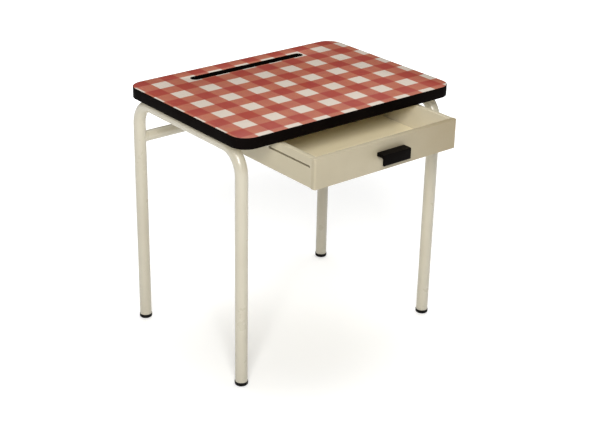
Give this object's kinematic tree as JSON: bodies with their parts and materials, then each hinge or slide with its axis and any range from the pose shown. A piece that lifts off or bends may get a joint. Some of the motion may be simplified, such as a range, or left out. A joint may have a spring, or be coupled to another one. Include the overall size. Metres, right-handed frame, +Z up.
{
  "type": "school desk",
  "caption": "Child's desk with a gingham laminate top, a pen groove, bent-tube steel legs and a shallow drawer that slides on steel runners.",
  "frame": {"origin": "on the floor, under the middle of the desk's outline with the drawer open by 131 mm, as at rest", "axes": "+X to the desk's right as seen by the child sitting at it, +Y away from the child, +Z up, square to the worktop"},
  "size_m": [0.6, 0.5688, 0.592],
  "materials": {
    "black painted fibreboard": "painted, satin",
    "gingham printed laminate": "printed red and white gingham under a satin melamine surface",
    "white backing laminate": "matt",
    "black edge band": "satin",
    "cream powder-coated steel": "glossy powder coat",
    "cream lacquered board": "satin lacquer",
    "black moulded cap": "matt",
    "black moulded pull": "satin",
    "zinc-plated steel": "bright zinc",
    "beech dowel": "bare"
  },
  "bodies": {
    "desk": {"tabletop_core": "black painted fibreboard", "tabletop_laminate": "gingham printed laminate", "tabletop_backing": "white backing laminate", "edge_band": "black edge band", "back_rail": "cream powder-coated steel", "side_frame_left": "cream powder-coated steel", "side_frame_right": "cream powder-coated steel", "runner_left": "cream powder-coated steel", "runner_right": "cream powder-coated steel", "fixing_tab_front_left": "cream powder-coated steel", "fixing_tab_front_right": "cream powder-coated steel", "fixing_tab_back_left": "cream powder-coated steel", "fixing_tab_back_right": "cream powder-coated steel", "foot_cap_front_left": "black moulded cap", "foot_cap_front_right": "black moulded cap", "foot_cap_back_left": "black moulded cap", "foot_cap_back_right": "black moulded cap", "tab_screw_front_left": "zinc-plated steel", "tab_screw_front_right": "zinc-plated steel", "tab_screw_back_left": "zinc-plated steel", "tab_screw_back_right": "zinc-plated steel", "runner_screw_front_left": "zinc-plated steel", "runner_screw_front_right": "zinc-plated steel", "runner_screw_middle_left": "zinc-plated steel", "runner_screw_middle_right": "zinc-plated steel", "runner_screw_back_left": "zinc-plated steel", "runner_screw_back_right": "zinc-plated steel"},
    "drawer": {"drawer_front": "cream lacquered board", "drawer_side_left": "cream lacquered board", "drawer_side_right": "cream lacquered board", "drawer_back": "cream lacquered board", "drawer_floor": "cream lacquered board", "drawer_pull": "black moulded pull", "pull_screw_left": "zinc-plated steel", "pull_screw_right": "zinc-plated steel", "dowel_front_left_lower": "beech dowel", "dowel_front_left_upper": "beech dowel", "dowel_front_right_lower": "beech dowel", "dowel_front_right_upper": "beech dowel", "dowel_back_left_lower": "beech dowel", "dowel_back_left_upper": "beech dowel", "dowel_back_right_lower": "beech dowel", "dowel_back_right_upper": "beech dowel"}
  },
  "joints": [
    {"name": "drawer_slide", "type": "slide", "parent": "desk", "child": "drawer", "axis": [0, -1, 0], "range_m": [-0.131, 0.069]}
  ]
}
